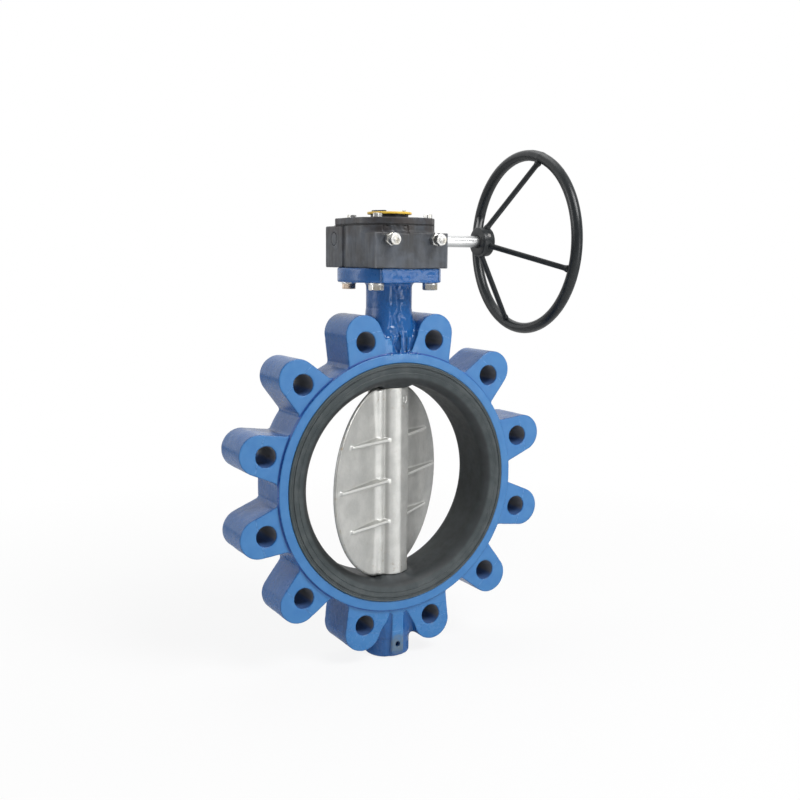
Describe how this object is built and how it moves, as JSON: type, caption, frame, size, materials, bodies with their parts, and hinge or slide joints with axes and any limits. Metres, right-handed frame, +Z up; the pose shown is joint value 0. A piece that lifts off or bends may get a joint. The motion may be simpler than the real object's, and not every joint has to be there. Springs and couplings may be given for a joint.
{
  "type": "butterfly valve",
  "caption": "Lug-type butterfly valve: a rubber-lined ring body with drilled lugs, a ribbed disc on a stem, and a worm gear operator with an indicator and a handwheel.",
  "frame": {"origin": "centre of the bore, midway between the two faces", "axes": "+Y along the pipe, away from the pictured front face; +Z up the stem; +X towards the handwheel"},
  "size_m": [0.4354, 0.2418, 0.6324],
  "materials": {
    "blue_paint": "glossy epoxy over a rough casting",
    "black_paint": "semi-gloss over a cast surface",
    "wheel_paint": "gloss",
    "seat_rubber": "moulded, satin",
    "seal_rubber": "matte",
    "cast_stainless": "satin, blasted casting",
    "stem_steel": "turned",
    "zinc_plated": "bright",
    "bronze": "turned",
    "cast_iron": "machined",
    "yellow_plastic": "semi-gloss",
    "black_plastic": "satin"
  },
  "bodies": {
    "valve_body": {"body_casting": "blue_paint", "seat_liner": "seat_rubber", "lower_neck_bushing": "bronze", "upper_neck_bushing": "bronze", "stem_o_ring_lower": "seal_rubber", "stem_o_ring_upper": "seal_rubber", "stem_dust_seal": "seal_rubber", "lower_stem": "stem_steel", "lower_stem_o_ring": "seal_rubber", "bottom_plug": "zinc_plated", "stem_retaining_pin": "stem_steel", "quadrant_thrust_washer": "bronze", "gearbox_housing": "black_paint", "cover_gasket": "seal_rubber", "gearbox_cover": "black_paint", "shaft_bushing_left": "bronze", "shaft_bushing_right": "bronze", "shaft_oil_seal": "seal_rubber", "shaft_seal_cap": "black_paint", "worm_end_plug": "black_paint", "cover_screw_1": "zinc_plated", "mounting_bolt_1": "zinc_plated", "mounting_washer_1": "zinc_plated", "cover_screw_2": "zinc_plated", "mounting_bolt_2": "zinc_plated", "mounting_washer_2": "zinc_plated", "cover_screw_3": "zinc_plated", "mounting_bolt_3": "zinc_plated", "mounting_washer_3": "zinc_plated", "cover_screw_4": "zinc_plated", "mounting_bolt_4": "zinc_plated", "mounting_washer_4": "zinc_plated", "stop_bolt_1": "zinc_plated", "stop_nut_1": "zinc_plated", "stop_bolt_2": "zinc_plated", "stop_nut_2": "zinc_plated"},
    "disc_and_stem": {"disc": "cast_stainless", "disc_pin": "stem_steel", "disc_bushing": "bronze", "upper_stem": "stem_steel", "worm_quadrant": "cast_iron", "stem_key": "cast_iron", "indicator_hub": "black_plastic", "indicator_plate": "yellow_plastic", "indicator_pointer": "black_plastic", "indicator_screw": "zinc_plated"},
    "handwheel_and_worm": {"input_shaft": "zinc_plated", "worm": "stem_steel", "worm_pin": "cast_iron", "handwheel_hub": "wheel_paint", "handwheel_roll_pin": "cast_iron", "handwheel_rim": "wheel_paint", "handwheel_spoke_1": "wheel_paint", "handwheel_spoke_2": "wheel_paint", "handwheel_spoke_3": "wheel_paint", "handwheel_spoke_4": "wheel_paint"}
  },
  "joints": [
    {"name": "handwheel_turn", "type": "hinge", "parent": "valve_body", "child": "handwheel_and_worm", "pos_m": [0, 0.0405, 0.2915], "axis": [1, 0, 0], "range_deg": [-951, 1749]},
    {"name": "stem_turn", "type": "hinge", "parent": "valve_body", "child": "disc_and_stem", "pos_m": [0, 0, 0], "axis": [0, 0, 1], "range_deg": [-31.7, 58.3]}
  ],
  "couplings": [
    {"joint": "stem_turn", "follows": "handwheel_turn", "ratio": 0.033333}
  ]
}
